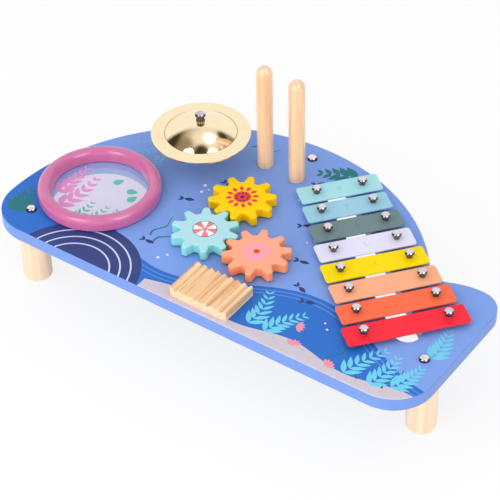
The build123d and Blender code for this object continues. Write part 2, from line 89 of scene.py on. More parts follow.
# ---------------------------------------------------------------- node trees
class Graph:
    """Adds nodes to one node tree and wires them."""

    def __init__(self, tree: NodeTree) -> None:
        """Keep the tree that the nodes go into."""
        self.tree = tree

    def node(self, kind: str, values: dict | None = None, **settings: object) -> Node:
        """Add a node.

        Args:
            kind: The node's Blender type.
            values: What goes into its inputs, by their names or numbers.
            settings: Properties to set on it first.

        Returns:
            The new node.
        """
        made = self.tree.nodes.new(kind)
        for name, value in settings.items():
            setattr(made, name, value)
        for key, value in (values or {}).items():
            self.feed(made.inputs[key], value)
        return made

    def feed(self, target: Socket, source: object) -> None:
        """Give an input its source.

        Args:
            target: The input.
            source: A socket or a node to link, or a plain value.
        """
        if isinstance(source, Node):
            source = source.outputs[0]
        if isinstance(source, Socket):
            self.tree.links.new(source, target)
        else:
            target.default_value = source

    def math(self, operation: str, *values: object) -> Socket:
        """Result of a Math node on sockets or numbers."""
        return self.node("ShaderNodeMath", dict(enumerate(values)), operation=operation).outputs[0]

    def vector_math(self, operation: str, *values: object) -> Node:
        """A Vector Math node on sockets or plain vectors."""
        return self.node("ShaderNodeVectorMath", dict(enumerate(values)), operation=operation)

    def mix(self, share: object, low: object, high: object) -> Socket:
        """Colour between low and high by a share."""
        return self.node("ShaderNodeMix", {0: share, 6: low, 7: high}, data_type="RGBA").outputs[2]

    def ramp(self, value: object, low: float, high: float) -> Socket:
        """Smooth step from 0 at low to 1 at high."""
        values = {"Value": value, "From Min": low, "From Max": high}
        return self.node("ShaderNodeMapRange", values, interpolation_type="SMOOTHSTEP").outputs[0]

    def noise(self, vector: Socket, scale: object, detail: float = 3.0, rough: float = 0.5) -> Socket:
        """Noise value at a vector."""
        values = {"Vector": vector, "Scale": scale, "Detail": detail, "Roughness": rough}
        return self.node("ShaderNodeTexNoise", values).outputs["Fac"]

    def stretched(self, vector: Socket, scale: Place) -> Socket:
        """Vector scaled by three factors."""
        return self.node("ShaderNodeMapping", {"Vector": vector, "Scale": scale}).outputs[0]

    def turned(self, vector: Socket, angles: Place) -> Socket:
        """Vector turned by three angles in radians."""
        return self.node("ShaderNodeMapping", {"Vector": vector, "Rotation": angles}).outputs[0]

    def axes(self, vector: object) -> Sequence[Socket]:
        """X, Y and Z of a vector."""
        return self.node("ShaderNodeSeparateXYZ", {0: vector}).outputs

    def vector(self, x: object, y: object, z: object) -> Socket:
        """Vector of X, Y and Z."""
        return self.node("ShaderNodeCombineXYZ", {0: x, 1: y, 2: z}).outputs[0]

    def rotation(self, angle: object) -> Socket:
        """Rotation about Z by an angle in radians."""
        return self.node("FunctionNodeEulerToRotation", {0: self.vector(0.0, 0.0, angle)}).outputs[0]


def empty_tree(owner: Material | World) -> NodeTree:
    """Give a material or world an empty node tree.

    Args:
        owner: The material or world.

    Returns:
        The tree.
    """
    owner.use_nodes = True
    owner.node_tree.nodes.clear()
    return owner.node_tree


class Kind(Enum):
    """What a group's socket carries."""

    FLOAT = "NodeSocketFloat"
    VECTOR = "NodeSocketVector"
    COLOUR = "NodeSocketColor"
    INTEGER = "NodeSocketInt"
    GEOMETRY = "NodeSocketGeometry"
    OBJECT = "NodeSocketObject"
    MATERIAL = "NodeSocketMaterial"


@dataclass(frozen=True)
class Port:
    """A named input or output of a node group."""

    name: str
    kind: Kind = Kind.FLOAT
    value: object = None


class NodeGroup(Graph):
    """A node group with named inputs and outputs, built once and then placed with its own values."""

    name = "group"
    kind = "ShaderNodeTree"
    inputs: tuple[Port, ...] = ()
    outputs: tuple[Port, ...] = ()

    def __init__(self) -> None:
        """Build the group: its sockets, its own nodes and what they put out."""
        super().__init__(bpy.data.node_groups.new(self.name, self.kind))
        for direction, ports in (("INPUT", self.inputs), ("OUTPUT", self.outputs)):
            for port in ports:
                made = self.tree.interface.new_socket(port.name, in_out=direction, socket_type=port.kind.value)
                if port.value is not None:
                    made.default_value = port.value
        self.entry = self.node("NodeGroupInput").outputs
        self.node("NodeGroupOutput", self.wire())

    @classmethod
    def built(cls) -> NodeTree:
        """The group's tree, which is built for the first caller."""
        return bpy.data.node_groups.get(cls.name) or cls().tree

    def wire(self) -> dict[str, object]:
        """Add the group's own nodes.

        Returns:
            What goes into the outputs, by name.
        """
        raise NotImplementedError


class GrainGroup(NodeGroup):
    """Straight grain of a pale hardwood, along Z of its vector."""

    name = "hardwood_grain"
    inputs = (
        Port("Vector", Kind.VECTOR),
        Port("Light", Kind.COLOUR),
        Port("Dark", Kind.COLOUR),
        Port("Contrast", value=1.0),
    )
    outputs = (Port("Colour", Kind.COLOUR), Port("Roughness"), Port("Height"))

    def wire(self) -> dict[str, object]:
        """Add year rings, fibres and flecks.

        Returns:
            What goes into the outputs, by name.
        """
        rings = self.noise(self.stretched(self.entry["Vector"], (1.0, 1.0, 0.035)), 210.0, 4.0, 0.55)
        fibres = self.noise(self.stretched(self.entry["Vector"], (1.0, 1.0, 0.02)), 1500.0, 3.0, 0.6)
        flecks = self.noise(self.stretched(self.entry["Vector"], (1.0, 1.0, 0.16)), 900.0, 2.0, 0.5)
        figure = self.ramp(rings, 0.36, 0.66)
        streak = self.math("MULTIPLY", self.math("SUBTRACT", fibres, 0.5), 0.55)
        tone = self.math("ADD", self.math("MULTIPLY", figure, 0.6), streak)
        tone = self.math("ADD", tone, self.math("MULTIPLY", self.ramp(flecks, 0.64, 0.75), 0.45))
        tone = self.node("ShaderNodeClamp", {0: self.math("MULTIPLY", tone, self.entry["Contrast"])})
        return {
            "Colour": self.mix(tone, self.entry["Light"], self.entry["Dark"]),
            "Roughness": self.math("MULTIPLY_ADD", fibres, 0.18, 0.3),
            "Height": fibres,
        }


class SprayGroup(NodeGroup):
    """Faint cloudiness and orange peel of sprayed paint."""

    name = "sprayed_paint"
    inputs = (Port("Vector", Kind.VECTOR), Port("Paint", Kind.COLOUR), Port("Cloud"), Port("Peel Scale"))
    outputs = (Port("Colour", Kind.COLOUR), Port("Roughness"), Port("Height"))

    def wire(self) -> dict[str, object]:
        """Add the clouds and the peel.

        Returns:
            What goes into the outputs, by name.
        """
        cloud = self.noise(self.entry["Vector"], 38.0, 4.0, 0.6)
        value = self.math("MULTIPLY_ADD", self.math("SUBTRACT", cloud, 0.5), self.entry["Cloud"], 1.0)
        tint = self.node("ShaderNodeHueSaturation", {"Color": self.entry["Paint"], "Value": value})
        return {
            "Colour": tint,
            "Roughness": self.math("MULTIPLY_ADD", cloud, 0.14, 0.26),
            "Height": self.noise(self.entry["Vector"], self.entry["Peel Scale"], 2.0),
        }


class LatheGroup(NodeGroup):
    """Fine turning marks round an upright axis, and the reach from it."""

    name = "turning_marks"
    inputs = (Port("Vector", Kind.VECTOR), Port("Axis", Kind.VECTOR), Port("Lines"))
    outputs = (Port("Mask"), Port("Height"), Port("Reach"))

    def wire(self) -> dict[str, object]:
        """Add the marks.

        Returns:
            What goes into the outputs, by name.
        """
        away = self.vector_math("SUBTRACT", self.entry["Vector"], self.entry["Axis"])
        flat = self.vector_math("MULTIPLY", away, (1.0, 1.0, 0.0))
        reach = self.vector_math("LENGTH", flat).outputs["Value"]
        values = {"W": reach, "Scale": self.entry["Lines"], "Detail": 2.0}
        line = self.node("ShaderNodeTexNoise", values, noise_dimensions="1D").outputs["Fac"]
        return {"Mask": self.ramp(line, 0.35, 0.7), "Height": line, "Reach": reach}


class FacingGroup(NodeGroup):
    """How far a surface lies across the Z axis of its normal."""

    name = "facing_mask"
    inputs = (Port("Normal", Kind.VECTOR),)
    outputs = (Port("Across"),)

    def wire(self) -> dict[str, object]:
        """Add the mask."""
        return {"Across": self.ramp(self.math("ABSOLUTE", self.axes(self.entry["Normal"])[2]), 0.6, 0.85)}


class Surface(Graph):
    """A material in the making: one shader in a graph, with Object coordinates."""

    def __init__(self, name: str) -> None:
        """Start a material.

        Args:
            name: The material's name.
        """
        self.material = bpy.data.materials.new(name)
        super().__init__(empty_tree(self.material))
        self.shader = self.node("ShaderNodeBsdfPrincipled")
        self.node("ShaderNodeOutputMaterial", {"Surface": self.shader})
        coordinates = self.node("ShaderNodeTexCoord").outputs
        self.place = coordinates["Object"]
        self.outward = coordinates["Normal"]

    def set(self, **values: object) -> None:
        """Set or link shader inputs, named with underscores for spaces."""
        for name, value in values.items():
            self.feed(self.shader.inputs[name.replace("_", " ")], value)

    def group(self, group: type[NodeGroup], **values: object) -> dict[str, Socket]:
        """Place a shader group, its inputs named with underscores for spaces, and give its outputs."""
        inputs = {name.replace("_", " "): value for name, value in values.items()}
        return self.node("ShaderNodeGroup", inputs, node_tree=group.built()).outputs

    def spray(self, paint: object, cloud: float, peel_scale: float = 900.0) -> Socket:
        """Spray a colour on.

        Args:
            paint: The colour.
            cloud: How cloudy it is.
            peel_scale: How fine its orange peel is.

        Returns:
            The peel's height.
        """
        laid = self.group(SprayGroup, Vector=self.place, Paint=paint, Cloud=cloud, Peel_Scale=peel_scale)
        self.set(Base_Color=laid["Colour"], Roughness=laid["Roughness"])
        return laid["Height"]

    def sided(self, colour: object, side: Colour) -> Socket:
        """A colour that gives way on upright sides to another, a painted shade for how light falls on them."""
        return self.mix(self.group(FacingGroup, Normal=self.outward)["Across"], side, colour)

    def lacquer(self, weight: float, roughness: float, gloss: float) -> None:
        """Add a clear coat, and set the body's own gloss."""
        self.set(Coat_Weight=weight, Coat_Roughness=roughness, Specular_IOR_Level=gloss)

    def bump(self, height: Socket, depth: float, strength: float) -> None:
        """Feed a height into the shader's normal."""
        values = {"Strength": strength, "Distance": depth, "Height": height}
        self.set(Normal=self.node("ShaderNodeBump", values))


# ---------------------------------------------------------------- finishes
@dataclass(frozen=True)
class Finish:
    """A named finish, whose material is made once."""

    name: str

    @cache
    def material(self) -> Material:
        """Make the material.

        Returns:
            The material.
        """
        surface = Surface(self.name)
        self.lay(surface)
        return surface.material

    def lay(self, surface: Surface) -> None:
        """Add the finish's own nodes to a material in the making."""
        raise NotImplementedError


@dataclass(frozen=True)
class Paint(Finish):
    """Sprayed paint or enamel, which may have a painted shade on upright sides and a painted contact shadow at
    its foot.
    """

    colour: Colour
    coat: float = 0.1
    gloss: float = 0.16
    # painted shade: the colour of upright sides, lighter or darker for how light falls on them
    side: Colour | None = None
    cloud: float = 0.04
    coat_roughness: float = 0.22
    peel_scale: float = 900.0
    peel_depth: float = 0.02 * MM
    peel_strength: float = 0.5
    # below this height, fading over foot_width, a painted contact shadow darkens the paint
    foot: float | None = None
    foot_width: float = 0.9 * MM
    foot_shade: Colour = srgb(98, 60, 108)

    def lay(self, surface: Surface) -> None:
        """Spray the paint on.

        Args:
            surface: The material in the making.
        """
        paint = self.colour
        # painted shade on the upright sides
        if self.side:
            paint = surface.sided(paint, self.side)
        # painted contact shadow round the foot
        if self.foot:
            low = surface.ramp(surface.axes(surface.place)[2], self.foot + self.foot_width, self.foot)
            paint = surface.mix(low, paint, self.foot_shade)
        peel = surface.spray(paint, self.cloud, self.peel_scale)
        surface.lacquer(self.coat, self.coat_roughness, self.gloss)
        surface.bump(peel, self.peel_depth, self.peel_strength)


@dataclass(frozen=True)
class PrintInk(Finish):
    """Flat printed ink with a trace of uneven cover."""

    colour: Colour

    def lay(self, surface: Surface) -> None:
        """Lay the ink."""
        surface.spray(self.colour, 0.08)
        surface.set(Specular_IOR_Level=0.16)


class GrainWay(Enum):
    """Which way the grain of a wooden piece runs."""

    UPRIGHT = (0.0, 0.0, 0.0)
    ACROSS = (math.radians(90), 0.0, 0.0)


@dataclass(frozen=True)
class ClearWood(Finish):
    """Pale hardwood under clear lacquer."""

    light: Colour
    dark: Colour
    contrast: float = 1.0
    coat: float = 0.15
    gloss: float = 0.25
    coat_roughness: float = 0.2
    way: GrainWay = GrainWay.UPRIGHT
    end: Colour = srgb(252, 214, 182)
    end_dark: Colour = srgb(226, 178, 138)

    def lay(self, surface: Surface) -> None:
        """Add the grain, its cut ends and the lacquer.

        Args:
            surface: The material in the making.
        """
        along = surface.turned(surface.place, self.way.value)
        grain = surface.group(GrainGroup, Vector=along, Light=self.light, Dark=self.dark, Contrast=self.contrast)
        outward = surface.turned(surface.outward, self.way.value)
        cut = surface.group(FacingGroup, Normal=outward)["Across"]
        rings = surface.noise(surface.stretched(along, (1.0, 2.5, 0.0)), 260.0, 4.0, 0.6)
        end = surface.mix(surface.ramp(rings, 0.45, 0.65), self.end, self.end_dark)
        surface.set(Base_Color=surface.mix(cut, grain["Colour"], end), Roughness=grain["Roughness"])
        surface.lacquer(self.coat, self.coat_roughness, self.gloss)
        surface.bump(grain["Height"], 0.03 * MM, 0.6)


@dataclass(frozen=True)
class SpunBrass(Finish):
    """Brass with fine turning marks round an upright axis, and a painted shade line along the crease at one
    reach from it.
    """

    colour: Colour
    worn: Colour
    axis: Place
    crease: float
    roughness: float = 0.1
    lines: float = 3200.0
    relief: float = 0.002 * MM
    crease_width: float = 0.5 * MM
    # painted shade in the crease between flange and dome
    shade: Colour = srgb(170, 128, 82)

    def lay(self, surface: Surface) -> None:
        """Add the brass and its marks.

        Args:
            surface: The material in the making.
        """
        marks = surface.group(LatheGroup, Vector=surface.place, Axis=self.axis, Lines=self.lines)
        smudge = surface.ramp(surface.noise(surface.place, 60.0, 4.0, 0.6), 0.42, 0.72)
        share = surface.math("MULTIPLY", surface.math("ADD", marks["Mask"], smudge), 0.5)
        rough = surface.math("MULTIPLY_ADD", share, self.roughness * 0.5, self.roughness * 0.75)
        # painted shade line at the crease
        off = surface.math("ABSOLUTE", surface.math("SUBTRACT", marks["Reach"], self.crease))
        line = surface.ramp(off, self.crease_width, self.crease_width * 0.3)
        colour = surface.mix(line, surface.mix(share, self.colour, self.worn), self.shade)
        surface.set(Base_Color=colour, Roughness=rough, Metallic=1.0)
        surface.bump(marks["Height"], self.relief, 0.5)


@dataclass(frozen=True)
class BrightMetal(Finish):
    """Plated steel with faint handling marks, a painted shade on a cap's steep faces, and a painted shade below
    its seat where the neck is in shadow.
    """

    colour: Colour = srgb(196, 196, 190)
    worn: Colour = srgb(160, 160, 156)
    roughness: float = 0.35
    # painted shade: a darker colour on steep faces, standing in for the dark room that they reflect
    skirt: Colour | None = None
    # below this height a painted shade darkens the neck, which sits in shadow under the cap
    seat: float | None = None
    seat_edge: float = 0.1 * MM
    dull: Colour = srgb(112, 104, 108)

    def lay(self, surface: Surface) -> None:
        """Add the plating.

        Args:
            surface: The material in the making.
        """
        smudge = surface.ramp(surface.noise(surface.place, 160.0, 4.0, 0.6), 0.4, 0.75)
        hair = surface.noise(surface.stretched(surface.place, (1.0, 1.0, 0.1)), 2400.0, 2.0)
        rough = surface.math("MULTIPLY_ADD", smudge, self.roughness * 0.6, self.roughness * 0.7)
        colour = surface.mix(smudge, self.colour, self.worn)
        # painted shade on the steep faces
        if self.skirt:
            colour = surface.sided(colour, self.skirt)
        # painted shade on the neck below the seat
        if self.seat:
            below = surface.ramp(surface.axes(surface.place)[2], self.seat, self.seat - self.seat_edge)
            colour = surface.mix(below, colour, self.dull)
        surface.set(Base_Color=colour, Roughness=rough, Metallic=1.0)
        surface.bump(hair, 0.001 * MM, 0.3)


@dataclass(frozen=True)
class SoftStuff(Finish):
    """Felt, rubber or nylon: a matt body with a fine nap."""

    light: Colour
    dark: Colour
    scale: float = 500.0
    relief: float = 0.01 * MM
    roughness: float = 0.4

    def lay(self, surface: Surface) -> None:
        """Add the body and its nap.

        Args:
            surface: The material in the making.
        """
        nap = surface.noise(surface.place, self.scale, 4.0, 0.7)
        colour = surface.mix(surface.ramp(nap, 0.3, 0.7), self.light, self.dark)
        surface.set(Base_Color=colour, Roughness=self.roughness)
        surface.bump(nap, self.relief, 0.8)


@dataclass(frozen=True)
class DrumFilm(Finish):
    """Milky translucent film."""

    name: str = "drum_film"
    milk: Colour = srgb(202, 190, 236)
    shade: Colour = srgb(190, 178, 228)
    cover: float = 0.34

    def lay(self, surface: Surface) -> None:
        """Add the milky body and its cover.

        Args:
            surface: The material in the making.
        """
        cloud = surface.noise(surface.place, 45.0)
        surface.set(Base_Color=surface.mix(cloud, self.milk, self.shade), Roughness=0.22)
        surface.set(Alpha=surface.math("MULTIPLY_ADD", cloud, 0.08, self.cover - 0.04))
        surface.bump(surface.noise(surface.place, 300.0, 2.0), 0.01 * MM, 0.4)


@dataclass(frozen=True)
class WaveEdge:
    """A wavy boundary across the top, in millimetres: level + slope x + swing sin(x / stride + start)."""

    level: float
    slope: float
    swing: float
    stride: float
    start: float

    def depth(self, graph: Graph, x: Socket, y: Socket) -> Socket:
        """Depth of a point below the boundary, negative above it.

        Args:
            graph: The graph to add to.
            x: Position along the front edge.
            y: Position to the back.

        Returns:
            The depth.
        """
        angle = graph.math("MULTIPLY_ADD", x, 1 / self.stride, self.start)
        line = graph.math("MULTIPLY_ADD", graph.math("SINE", angle), self.swing, self.level)
        line = graph.math("ADD", line, graph.math("MULTIPLY", x, self.slope))
        return graph.math("SUBTRACT", line, y)


@dataclass(frozen=True)
class PrintedBoard(Finish):
    """The top's paint: plain sides, a hole wall with painted light and a painted shadow band, and a face with
    wave bands, a sand strip and a ringed dome.

    Sizes and places are in millimetres.
    """

    name: str = "printed_board"
    side: Colour = srgb(114, 146, 214)
    sky: Colour = srgb(125, 160, 232)
    royal: Colour = srgb(42, 110, 202)
    crest: Colour = srgb(92, 146, 222)
    crest_depths: tuple[float, ...] = (5.0, 10.0)
    crest_width: float = 1.1
    right_wave: WaveEdge = WaveEdge(-80.0, 0.0, 25.0, 47.0, -0.55)
    left_wave: WaveEdge = WaveEdge(-345.0, -1.45, 8.0, 15.0, 1.0)
    sand: Colour = srgb(206, 196, 208)
    grit: Colour = srgb(176, 164, 184)
    sand_edge: WaveEdge = WaveEdge(-120.0, 0.0, 5.0, 19.0, 2.2)
    sand_left: float = -52.0
    navy: Colour = srgb(50, 64, 127)
    ripple: Colour = srgb(205, 214, 240)
    dome_middle: Point = (-118.0, -150.0)
    dome_radius: float = 66.0
    dome_rings: tuple[float, ...] = (56.0, 46.0, 36.0)
    ring_width: float = 1.6
    # the hole's wall: lighter than the sides as painted light, and darker above wall_line as the ring's painted
    # shadow
    wall_high: Colour = srgb(112, 184, 255)
    wall_low: Colour = srgb(150, 234, 255)
    wall_line: float = 74.0
    wall_edge: float = 0.4
    hole_middle: Point = (-164.9, -46.8)
    hole_reach: float = 50.0
    face_height: float = 80.9
    edge: float = 0.12

    def step(self, graph: Graph, value: Socket) -> Socket:
        """A crisp printed edge where a value passes zero."""
        return graph.ramp(value, -self.edge, self.edge)

    def line(self, graph: Graph, value: Socket, middle: float, width: float) -> Socket:
        """A printed line of a width where a value is near its middle."""
        off = graph.math("ABSOLUTE", graph.math("SUBTRACT", value, middle))
        return self.step(graph, graph.math("SUBTRACT", width / 2, off))

    def reach(self, graph: Graph, middle: Point, x: Socket, y: Socket) -> Socket:
        """Distance from a middle in plan.

        Args:
            graph: The graph to add to.
            middle: The middle.
            x: Position along the front edge.
            y: Position to the back.

        Returns:
            The distance.
        """
        across = graph.math("SUBTRACT", x, middle[0])
        along = graph.math("SUBTRACT", y, middle[1])
        square = graph.math("MULTIPLY", along, along)
        return graph.math("SQRT", graph.math("ADD", graph.math("MULTIPLY", across, across), square))

    def face(self, graph: Graph, x: Socket, y: Socket, grit: Socket) -> Socket:
        """The print on the face.

        Args:
            graph: The graph to add to.
            x: Position along the front edge.
            y: Position to the back.
            grit: Where the sand has grit.

        Returns:
            Its colour.
        """
        below = graph.math("MAXIMUM", self.right_wave.depth(graph, x, y), self.left_wave.depth(graph, x, y))
        colour = graph.mix(self.step(graph, below), self.sky, self.royal)
        for depth in self.crest_depths:
            colour = graph.mix(self.line(graph, below, depth, self.crest_width), colour, self.crest)
        reach = self.reach(graph, self.dome_middle, x, y)
        dome = self.step(graph, graph.math("SUBTRACT", self.dome_radius, reach))
        colour = graph.mix(dome, colour, self.navy)
        for radius in self.dome_rings:
            colour = graph.mix(self.line(graph, reach, radius, self.ring_width), colour, self.ripple)
        sandy = self.step(graph, self.sand_edge.depth(graph, x, y))
        sandy = graph.math("MULTIPLY", sandy, self.step(graph, graph.math("SUBTRACT", x, self.sand_left)))
        return graph.mix(sandy, colour, graph.mix(grit, self.sand, self.grit))

    def lay(self, surface: Surface) -> None:
        """Paint the sides and the hole's wall, which is brightened as painted light with a painted shadow band
        at its top, and print the face.

        Args:
            surface: The material in the making.
        """
        x, y, z = surface.axes(surface.stretched(surface.place, (1 / MM, 1 / MM, 1 / MM)))
        grit = surface.ramp(surface.noise(surface.place, 420.0, 2.0), 0.66, 0.7)
        face = self.face(surface, x, y, grit)
        # painted shadow band high on the hole's wall, painted light below it
        high = surface.ramp(z, self.wall_line - self.wall_edge, self.wall_line + self.wall_edge)
        near = surface.math("SUBTRACT", self.hole_reach, self.reach(surface, self.hole_middle, x, y))
        wall = surface.mix(high, self.wall_low, self.wall_high)
        side = surface.mix(self.step(surface, near), self.side, wall)
        up = self.step(surface, surface.math("SUBTRACT", z, self.face_height))
        peel = surface.spray(surface.mix(up, side, face), 0.07)
        surface.lacquer(0.08, 0.25, 0.16)
        surface.bump(peel, 0.02 * MM, 0.5)


# ---------------------------------------------------------------- meshes
def add_object(name: str, data: ID) -> Object:
    """Link an object into the scene, at the origin.

    Args:
        name: The object's name.
        data: Its mesh, text, lamp or camera.

    Returns:
        The object.
    """
    made = bpy.data.objects.new(name, data)
    bpy.context.scene.collection.objects.link(made)
    return made


def plain_mesh(helper: Object, name: str) -> Mesh:
    """Evaluate a helper object into a plain mesh and remove the helper.

    Args:
        helper: The object, which is in the scene.
        name: The mesh's name.

    Returns:
        The mesh.
    """
    bpy.context.view_layer.update()
    made = bpy.data.meshes.new_from_object(helper.evaluated_get(bpy.context.evaluated_depsgraph_get()))
    made.name = name
    bpy.data.objects.remove(helper)
    return made


def slab(name: str, outlines: list[list[Point]], low: float, high: float) -> Object:
    """A flat plate from one or more outlines.

    Args:
        name: The object's name.
        outlines: Closed outlines, counter-clockwise.
        low: Height of the lower faces.
        high: Height of the lowest upper face. Neighbours rise by thin layers, so none share a plane.

    Returns:
        The plate's object.
    """
    mesh = bpy.data.meshes.new(name)
    built = bmesh.new()
    for number, outline in enumerate(outlines):
        lower = [built.verts.new((x, y, low)) for x, y in outline]
        upper = [built.verts.new((x, y, high + number % LAYER_COUNT * LAYER)) for x, y in outline]
        built.faces.new(upper)
        built.faces.new(lower[::-1])
        count = len(outline)
        for index in range(count):
            after = (index + 1) % count
            built.faces.new((lower[index], lower[after], upper[after], upper[index]))
    bmesh.ops.recalc_face_normals(built, faces=built.faces)
    built.to_mesh(mesh)
    built.free()
    return add_object(name, mesh)


def leaf_outline(length: float, width: float, fullness: float = 1.0, steps: int = 10) -> list[Point]:
    """Outline of a leaf from its stalk at the origin to its tip on +X.

    Args:
        length: Stalk to tip.
        width: Across the widest part.
        fullness: Below 1 the widest part moves to the stalk.
        steps: Points along each side.

    Returns:
        The outline, counter-clockwise.
    """
    side = []
    for index in range(steps + 1):
        share = index / steps
        side.append((length * share, width / 2 * math.sin(math.pi * share**fullness)))
    return [(x, -y) for x, y in side] + side[1:-1][::-1]


def ribbon_outline(length: float, steps: int = 32) -> list[Point]:
    """Outline of a wavy ribbon along +X that thins to its tip.

    Args:
        length: Foot to tip.
        steps: Spans along each side.

    Returns:
        The outline, counter-clockwise.
    """
    right, left = [], []
    for index in range(steps + 1):
        x = length * index / steps
        y = RIBBON_SWING * math.sin(x / RIBBON_STRIDE)
        half = RIBBON_SWING / 2 * (1.0 - RIBBON_TAPER * index / steps)
        right.append((x, y - half))
        left.append((x, y + half))
    return right + left[::-1]


def disc_outline(radius: float, steps: int = 24) -> list[Point]:
    """Outline of a disc round the origin."""
    angles = [2 * math.pi * index / steps for index in range(steps)]
    return [(radius * math.cos(a), radius * math.sin(a)) for a in angles]


def sector_outline(inner: float, outer: float, start: float, sweep: float, steps: int = 8) -> list[Point]:
    """Outline of a ring's sector.

    Args:
        inner: Inner radius.
        outer: Outer radius.
        start: First angle, in radians.
        sweep: Angle across it.
        steps: Spans along each arc.

    Returns:
        The outline, counter-clockwise.
    """
    angles = [start + sweep * index / steps for index in range(steps + 1)]
    far = [(outer * math.cos(a), outer * math.sin(a)) for a in angles]
    near = [(inner * math.cos(a), inner * math.sin(a)) for a in angles[::-1]]
    return far + near


def moved(outline: list[Point], place: Point, turn: float = 0.0) -> list[Point]:
    """An outline turned by degrees and moved to a place."""
    c, s = math.cos(math.radians(turn)), math.sin(math.radians(turn))
    return [(place[0] + x * c - y * s, place[1] + x * s + y * c) for x, y in outline]


def bent_line(stem: Sequence[Point], steps: int = 12) -> list[Point]:
    """A smooth bent line through a foot, towards a middle and to a tip.

    Args:
        stem: Foot, pull and tip, in millimetres.
        steps: Number of spans.

    Returns:
        The line's points, in metres.
    """
    line = []
    for index in range(steps + 1):
        t = index / steps
        weights = ((1 - t) ** 2, 2 * t * (1 - t), t * t)
        line.append(tuple(sum(w * p[axis] for w, p in zip(weights, stem)) * MM for axis in (0, 1)))
    return line


def join_meshes(name: str, pieces: list[Object]) -> Object:
    """Join plain objects at the origin into one object.

    Args:
        name: The new object's name.
        pieces: The objects, which are removed.

    Returns:
        The joined object.
    """
    built = bmesh.new()
    for piece in pieces:
        built.from_mesh(piece.data)
        bpy.data.objects.remove(piece)
    mesh = bpy.data.meshes.new(name)
    built.to_mesh(mesh)
    built.free()
    return add_object(name, mesh)


def dress(finish: Finish, *nodes: str) -> None:
    """Give nodes of the frame their finish and report them.

    Args:
        finish: The finish.
        nodes: Names of the nodes.
    """
    for node in nodes:
        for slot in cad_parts[node].material_slots:
            slot.material = finish.material()
        LOG.info("dressed %s in %s", node, finish.name)


def carry(piece: Object, body: str, finish: Finish) -> None:
    """Finish a new piece, let it ride on a body and report it.

    Args:
        piece: The piece.
        body: The body that carries it.
        finish: Its finish.
    """
    piece.data.materials.clear()
    piece.data.materials.append(finish.material())
    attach(piece, body)
    LOG.info("made %s with %d faces on %s", piece.name, len(piece.data.polygons), body)


# ---------------------------------------------------------------- geometry nodes
class PatternTree(NodeGroup):
    """A Geometry Nodes tree with named inputs, which makes a plain piece from a helper line."""

    kind = "GeometryNodeTree"
    start = Port("Geometry", Kind.GEOMETRY)
    last = Port("Finish", Kind.MATERIAL)
    outputs = (start,)

    def wire(self) -> dict[str, object]:
        """Make the pattern real and give it its finish."""
        real = self.node("GeometryNodeRealizeInstances", {0: self.spread()})
        return {"Geometry": self.node("GeometryNodeSetMaterial", {0: real, "Material": self.entry["Finish"]})}

    def spread(self) -> Node:
        """Add the pattern's own nodes.

        Returns:
            The node that puts out the instances.
        """
        raise NotImplementedError

    def instances(self, points: object, unit: Socket | Node, **values: object) -> Node:
        """Put an object input, or a geometry, on points.

        Args:
            points: Where the instances go.
            unit: The object input or the geometry.
            values: Rotation and Scale.

        Returns:
            The node.
        """
        if isinstance(unit, Socket):
            unit = self.node("GeometryNodeObjectInfo", {"Object": unit}).outputs["Geometry"]
        return self.node("GeometryNodeInstanceOnPoints", {"Points": points, "Instance": unit, **values})

    @classmethod
    def grow(cls, name: str, points: list[Place], finish: Finish, unit: Object, **values: object) -> Object:
        """Run the tree on a helper line.

        Args:
            name: The new object's name.
            points: The line's points.
            finish: The pattern's finish.
            unit: The object that the pattern repeats, which is removed.
            values: The tree's other inputs, named with underscores for spaces.

        Returns:
            The pattern's object, a plain mesh.
        """
        line = bpy.data.meshes.new("line")
        line.from_pydata(points, [(index, index + 1) for index in range(len(points) - 1)], [])
        helper = add_object("line", line)
        modifier = helper.modifiers.new(cls.name, "NODES")
        tree = modifier.node_group = cls.built()
        sockets = {item.name: item.identifier for item in tree.interface.items_tree if item.in_out == "INPUT"}
        for key, value in {**values, "Unit": unit, "Finish": finish.material()}.items():
            modifier[sockets[key.replace("_", " ")]] = value
        made = add_object(name, plain_mesh(helper, name))
        bpy.data.objects.remove(unit)
        return made


class FrondTree(PatternTree):
    """Leaves in pairs along a stem, smaller towards its tip, each pair a thin layer above the last."""

    name = "frond"
    stagger = 0.25  # of a layer, by which the two leaves of a pair stand apart
    inputs = (
        PatternTree.start,
        Port("Unit", Kind.OBJECT),
        Port("Pairs", Kind.INTEGER, 6),
        Port("Spread", value=0.8),
        Port("Tip Size", value=0.4),
        Port("Layer", value=0.04),
        PatternTree.last,
    )

    def spread(self) -> Node:
        """Lay the leaves to both sides of the stem.

        Returns:
            The node that puts out the leaves.
        """
        store = self.node("GeometryNodeCaptureAttribute")
        store.capture_items.new("VECTOR", "Heading")
        self.feed(store.inputs["Geometry"], self.node("GeometryNodeMeshToCurve", {0: self.entry["Geometry"]}))
        self.feed(store.inputs["Heading"], self.node("GeometryNodeInputTangent"))
        values = {"Curve": store.outputs["Geometry"], "Count": self.entry["Pairs"]}
        points = self.node("GeometryNodeCurveToPoints", values, mode="COUNT")
        index = self.node("GeometryNodeInputIndex").outputs[0]
        share = self.math("DIVIDE", index, self.math("SUBTRACT", self.entry["Pairs"], 1.0))
        shrink = self.math("SUBTRACT", 1.0, self.entry["Tip Size"])
        size = self.math("SUBTRACT", 1.0, self.math("MULTIPLY", share, shrink))
        heading = self.axes(store.outputs["Heading"])
        angle = self.math("ARCTAN2", heading[1], heading[0])
        join = self.node("GeometryNodeJoinGeometry")
        for side in (-1.0, 1.0):
            number = self.math("ADD", index, side * self.stagger)
            layer = self.math("MULTIPLY_ADD", number, self.entry["Layer"], 1.0)
            lean = self.math("ADD", angle, self.math("MULTIPLY", self.entry["Spread"], side))
            values = {"Rotation": self.rotation(lean), "Scale": self.vector(size, size, layer)}
            self.feed(join.inputs[0], self.instances(points, self.entry["Unit"], **values))
        return join


